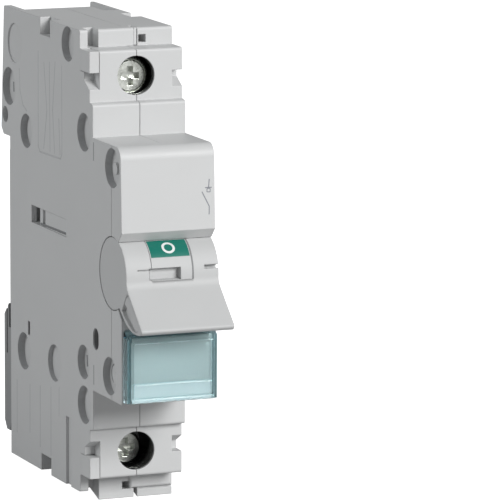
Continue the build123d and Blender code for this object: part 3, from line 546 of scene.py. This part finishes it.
flap = piece("clear_label_flap", label_flap(), "label_holder", finishes["clear_plastic"])
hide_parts("label_holder")
glowing_strip = moulding(
    "glowing_strip", (0.95, 0.95, 0.94), 0.7, grain_depth=0.000002, edge_radius=0.00002, edge_highlight=1.0,
)
# The strip glows faintly: painted light for the light that shines through the foot of the clear flap
glowing_strip_shader = glowing_strip.node_tree.nodes["Principled BSDF"]
glowing_strip_shader.inputs["Emission Color"].default_value = (0.85, 0.95, 1.0, 1)
glowing_strip_shader.inputs["Emission Strength"].default_value = 0.16
foot_strip = bar((-7.3, -59.095, -21.2), (7.3, -59.085, -18.1), 0.003, 1)
piece("label_foot_glow_strip", foot_strip, "label_holder", glowing_strip)
piece("label_flap_frame", flap_frame(), "label_holder", finishes["clear_plastic"])


# Near-black sleeves in the screw holes as painted shade, rim of the upper screw's head, and bars on the
# two lips

def turned(section, height, steps=72):
    """A ring round a screw's axis at a height, from (depth, radius) points of its section."""
    mesh = bmesh.new()
    rows = [
        points(mesh, ((reach * sin(turn), y, height + reach * cos(turn)) for y, reach in section))
        for turn in whole_turn(steps)
    ]
    skin(mesh, rows, joined=True)
    return outward(mesh)


sleeve_section = (
    (-41.4, 3.45), (-40.75, 3.45), (-40.6, 3.94), (-33.6, 3.94), (-33.6, 3.84), (-40.55, 3.84),
    (-40.7, 3.4), (-41.4, 3.4),
)
rim_section = ((-38.75, 2.95), (-38.6, 3.3), (-38.3, 3.5), (-37.9, 3.5), (-37.8, 2.95))
# The sleeves are near black: painted shade in the depth of the screw holes
hole_shade_black = moulding("hole_shade_black", (0.012, 0.012, 0.013), 0.3, grain_depth=0.000002, edge_highlight=1.2)
piece("upper_hole_shade_sleeve", turned(sleeve_section, hole_height), "housing", hole_shade_black)
piece("lower_hole_shade_sleeve", turned(sleeve_section, -hole_height), "housing", hole_shade_black)
piece("upper_head_rim", turned(rim_section, upper_head_height), "upper_screw", finishes["zinc_steel"])
ledge = bar((0.5, -37.7, -41.5), (8.5, -36.9, -38.6), 0.4, 3, lambda place: place.y < -37.6)
piece("lower_ledge", ledge, "housing", finishes["housing_plastic"])
lip_fill = bar((1.42, -36.96, 38.5), (1.99, -35.0, 41.56), 0.08, 2, lambda place: place.y < -36.9)
piece("upper_lip_fill", lip_fill, "housing", finishes["housing_plastic"])


# Spring above the rail clip's foot

def clip_coil(steps_a_turn=24, sides=8):
    """The clip's spring as a wire wound round an upright axis."""
    mesh = bmesh.new()
    total = coil_turns * steps_a_turn
    rows = []
    for step in range(total + 1):
        turn = 2 * pi * step / steps_a_turn
        away = Vector((cos(turn), sin(turn), 0))
        rise = coil_wire / 2 + (coil_height - coil_wire) * step / total
        middle = Vector((0, coil_axis, coil_foot + rise)) + away * coil_radius
        rows.append(points(mesh, (
            middle + coil_wire / 2 * (away * cos(angle) + Vector((0, 0, sin(angle))))
            for angle in whole_turn(sides)
        )))
    skin(mesh, rows, capped=True)
    return outward(mesh)


spring = piece("clip_coil", clip_coil(), "housing", finishes["spring_steel"])
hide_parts("clip_spring")
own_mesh(spring)


# Lines, pocket marks and hole linings of the left side, and the gap line of the hub, darker than the
# housing as painted shade in grooves, gaps and hollows

def side_lines(lines, floor, rise):
    """Low bars on a face of the left side; each goes from one (depth, height) to another."""
    mesh = bmesh.new()
    for start, end, width in lines:
        rows = []
        for across, share in ((floor + 0.05, 1.0), (floor, 1.0), (floor - rise, 0.4)):
            corners = strip_corners(start, end, width * share, past=width / 4)
            rows.append(points(mesh, ((across, *corner) for corner in corners)))
        skin(mesh, rows, capped=True)
    return outward(mesh)


def pocket_rings(pockets, thickness=0.05, steps=56):
    """Thin rings against the walls of the side pockets."""
    mesh = bmesh.new()
    for y, z, radius, hollow in pockets:
        mouth, floor = left_face + 0.04, left_face + hollow + 0.02
        outer, inner = radius + 0.02, radius - thickness
        section = ((floor, outer), (mouth, outer), (mouth, inner), (floor, inner))
        rows = [
            points(mesh, ((x, y + reach * cos(turn), z + reach * sin(turn)) for x, reach in section))
            for turn in whole_turn(steps)
        ]
        skin(mesh, rows, joined=True)
    return outward(mesh)


def lining(centre, radii, mouth, floor, wall=0.08, steps=40):
    """A thin oval lining with a closed floor, inside a hole of the left side."""
    mesh = bmesh.new()
    rows = [
        points(mesh, (
            (x, centre[0] + (radii[0] - less) * cos(turn), centre[1] + (radii[1] - less) * sin(turn))
            for turn in whole_turn(steps)
        ))
        for x, less in ((floor, 0.0), (mouth, 0.0), (mouth, wall), (floor - wall, wall))
    ]
    skin(mesh, rows, capped=True)
    return outward(mesh)


# Start and end as (depth, height), and width, of each line
panel_outline = (
    ((-15.5, 35.3), (-15.4, 18.0), 0.35), ((-15.4, 18.0), (-16.3, 17.1), 0.35),
    ((-16.3, 17.1), (-27.1, 17.3), 0.35), ((-27.1, 17.3), (-27.8, 18.2), 0.3),
    ((-27.8, 18.2), (-27.8, 34.1), 0.3),
)
engraved_lines = (
    ((-18.5, 33.6), (-20.0, 25.0), 0.35), ((-20.0, 25.0), (-18.3, 18.0), 0.4),
    ((-21.4, 34.0), (-21.6, 17.8), 0.35), ((-24.4, 34.4), (-23.0, 25.5), 0.35),
    ((-23.0, 25.5), (-24.0, 17.8), 0.35), ((-26.2, 24.4), (-26.8, 18.0), 0.35),
    ((-5.4, 30.9), (-5.7, 27.0), 0.3), ((-5.7, 27.0), (-7.3, 24.4), 0.3),
    ((-7.3, 24.4), (-9.4, 23.6), 0.3), ((-3.5, -27.3), (-3.4, -37.1), 0.35),
    ((-10.5, -26.9), (-10.4, -35.8), 0.35), ((-16.0, -26.1), (-15.9, -37.4), 0.4),
    ((-21.7, -25.3), (-21.6, -37.9), 0.35), ((-26.0, -24.5), (-25.9, -29.8), 0.3),
)
seam_marks = (((-43.9, 22.5), (-43.9, 19.4), 0.3), ((-43.85, -17.3), (-43.85, -20.7), 0.3))
pocket_marks = (
    ((-7.5, 21.0), (-7.7, 18.7), 0.7), ((1.3, 27.4), (1.2, 25.9), 0.6),
    ((-37.0, -16.9), (-37.2, -18.6), 0.7),
)
oval_steps = 20
oval = [
    (-51.0 + 1.6 * cos(2 * pi * step / oval_steps), -17.6 + 1.7 * sin(2 * pi * step / oval_steps))
    for step in range(oval_steps + 1)
]
oval_line = [(start, end, 0.3) for start, end in zip(oval, oval[1:])]
window_edge = (((-15.6, 3.75), (-28.6, 3.95), 0.45),)

# Faint grey lines: painted shade of the engraved lines on the left side
faint_shade_line = moulding("faint_shade_line", (0.50, 0.505, 0.51), 0.6, grain_depth=0.000002, edge_radius=0.00005)
# Dark grey lines: painted shade in the hub's gap and in the seams, slots and window edge of the left side
painted_shade_line = moulding("painted_shade_line", (0.22, 0.225, 0.23), 0.6, grain_depth=0.000002, edge_radius=0.00005)
piece("side_panel_outline", side_lines(panel_outline, left_face, 0.03), "housing", faint_shade_line)
piece("side_engraved_line_shade", side_lines(engraved_lines, left_face, 0.02), "housing", faint_shade_line)
# A dark line along the gap between hub and toggle: painted shade in the gap
hub_gap = sign_bar(65.25, length=8.15, width=0.28, steps=24, middle=3.86)
piece("hub_gap_line", hub_gap, "toggle", painted_shade_line)
piece("side_seam_marks", side_lines(seam_marks, left_face, 0.02), "housing", painted_shade_line)
piece("side_pocket_marks", side_lines(pocket_marks, pocket_floor, 0.05), "housing", painted_shade_line)
piece("side_pocket_oval", side_lines(oval_line, pocket_floor, 0.06), "housing", painted_shade_line)
piece("side_window_edge", side_lines(window_edge, window_floor, 0.05), "housing", painted_shade_line)

# Middle as (depth, height), radius and hollow of each pocket
deep_pockets = (
    (-30.9, 38.4, 3.15, 1.3), (0.3, 26.95, 3.5, 1.3), (-9.0, 19.9, 3.15, 1.3), (-39.1, 23.7, 3.45, 1.3),
    (-53.1, 19.3, 3.5, 1.3), (-7.4, -21.15, 3.45, 1.3), (-23.6, -20.5, 3.4, 0.85),
    (-38.7, -17.6, 3.1, 1.3), (-51.8, -17.8, 3.4, 1.3), (-39.1, -25.3, 3.45, 1.3),
)
# Darker grey rings on the pocket walls: painted shade in the side pockets
pocket_shade_grey = moulding(
    "pocket_wall", (0.46, 0.465, 0.47), 0.55, grain_depth=0.000004, edge_radius=0.00008,
)
piece("side_pocket_walls", pocket_rings(deep_pockets), "housing", pocket_shade_grey)
# Dark grey linings in the vent and the nick: painted shade in these deep holes
shade_plastic = moulding(
    "shade_plastic", (0.26, 0.26, 0.265), 0.6, grain_depth=0.000002, edge_radius=0.00005,
)
vent = lining(centre=(-44.9, -12.4), radii=(1.38, 1.93), mouth=-8.55, floor=-6.1)
nick = lining(centre=(-10.1, -16.4), radii=(0.53, 1.28), mouth=-8.6, floor=-7.3)
piece("side_vent_shade", vent, "housing", shade_plastic)
piece("side_nick_shade", nick, "housing", shade_plastic)


# Floor, light and camera

def floor(radius):
    """A round pale floor; the camera sees it as white as the surroundings."""
    mesh = bmesh.new()
    bmesh.ops.create_circle(mesh, cap_ends=True, segments=64, radius=radius)
    data = bpy.data.meshes.new("floor")
    mesh.to_mesh(data)
    mesh.free()
    made = bpy.data.objects.new("floor", data)
    made.location.z = (lowest - 0.02) * mm
    bpy.context.collection.objects.link(made)
    material, tree, shader = fresh("floor_paint")
    shader.inputs["Base Color"].default_value = (0.48, 0.48, 0.48, 1)
    shader.inputs["Roughness"].default_value = 0.9
    shader.inputs["Emission Color"].default_value = (1, 1, 1, 1)
    path = node(tree, "ShaderNodeLightPath")
    plug(tree, shader.inputs["Emission Strength"], path.outputs["Is Camera Ray"])
    data.materials.append(material)


def soft_box(name, place, size, power, colour=(1, 1, 1)):
    """A square studio light aimed at the middle of the object."""
    data = bpy.data.lights.new(name, "AREA")
    data.shape = "SQUARE"
    data.size = size
    data.energy = power
    data.color = colour
    made = bpy.data.objects.new(name, data)
    made.location = place
    made.rotation_euler = (-Vector(place)).to_track_quat("-Z", "Y").to_euler()
    bpy.context.collection.objects.link(made)


def surroundings(seen, given):
    """Even light from all round; the camera sees it as white, also through clear plastic."""
    world = bpy.data.worlds.new("surroundings")
    bpy.context.scene.world = world
    world.use_nodes = True
    tree = world.node_tree
    tree.nodes.clear()
    path = node(tree, "ShaderNodeLightPath")
    bounced = maths(tree, "MINIMUM", path.outputs["Diffuse Depth"], 1.0)
    through = maths(tree, "SUBTRACT", path.outputs["Is Transmission Ray"], bounced, clamp=True)
    direct = maths(tree, "MAXIMUM", path.outputs["Is Camera Ray"], through)
    strength = remap(tree, direct, 0.0, 1.0, given, seen)
    back = node(tree, "ShaderNodeBackground", Color=(0.97, 0.987, 1, 1), Strength=strength)
    out = node(tree, "ShaderNodeOutputWorld")
    tree.links.new(back.outputs[0], out.inputs[0])


def camera(turn, rise, roll, lens, place):
    """The photograph's viewpoint, with three angles in degrees."""
    turn, rise, roll = radians(turn), radians(rise), radians(roll)
    back = Vector((sin(turn) * cos(rise), -cos(turn) * cos(rise), sin(rise)))
    level = Vector((cos(turn), sin(turn), 0))
    upright = back.cross(level)
    right = level * cos(roll) + upright * sin(roll)
    up = upright * cos(roll) - level * sin(roll)
    data = bpy.data.cameras.new("camera")
    data.sensor_width = 36
    data.lens = lens
    data.clip_start, data.clip_end = 0.05, 50
    made = bpy.data.objects.new("camera", data)
    made.matrix_world = Matrix.Translation(place) @ Matrix((right, up, back)).transposed().to_4x4()
    bpy.context.collection.objects.link(made)
    bpy.context.scene.camera = made


floor(radius=6.0)
surroundings(seen=1.04, given=0.22)
soft_box("key", (0.75, -1.55, 0.8), size=0.8, power=32.2)
soft_box("side", (-1.5, 0.35, 0.6), size=1.0, power=9.6, colour=(0.975, 0.99, 1))
camera(turn=-22.358, rise=9.597, roll=0.212, lens=356.98, place=(-0.31082, -0.85068, 0.14910))
bpy.context.scene.view_settings.view_transform = "Standard"
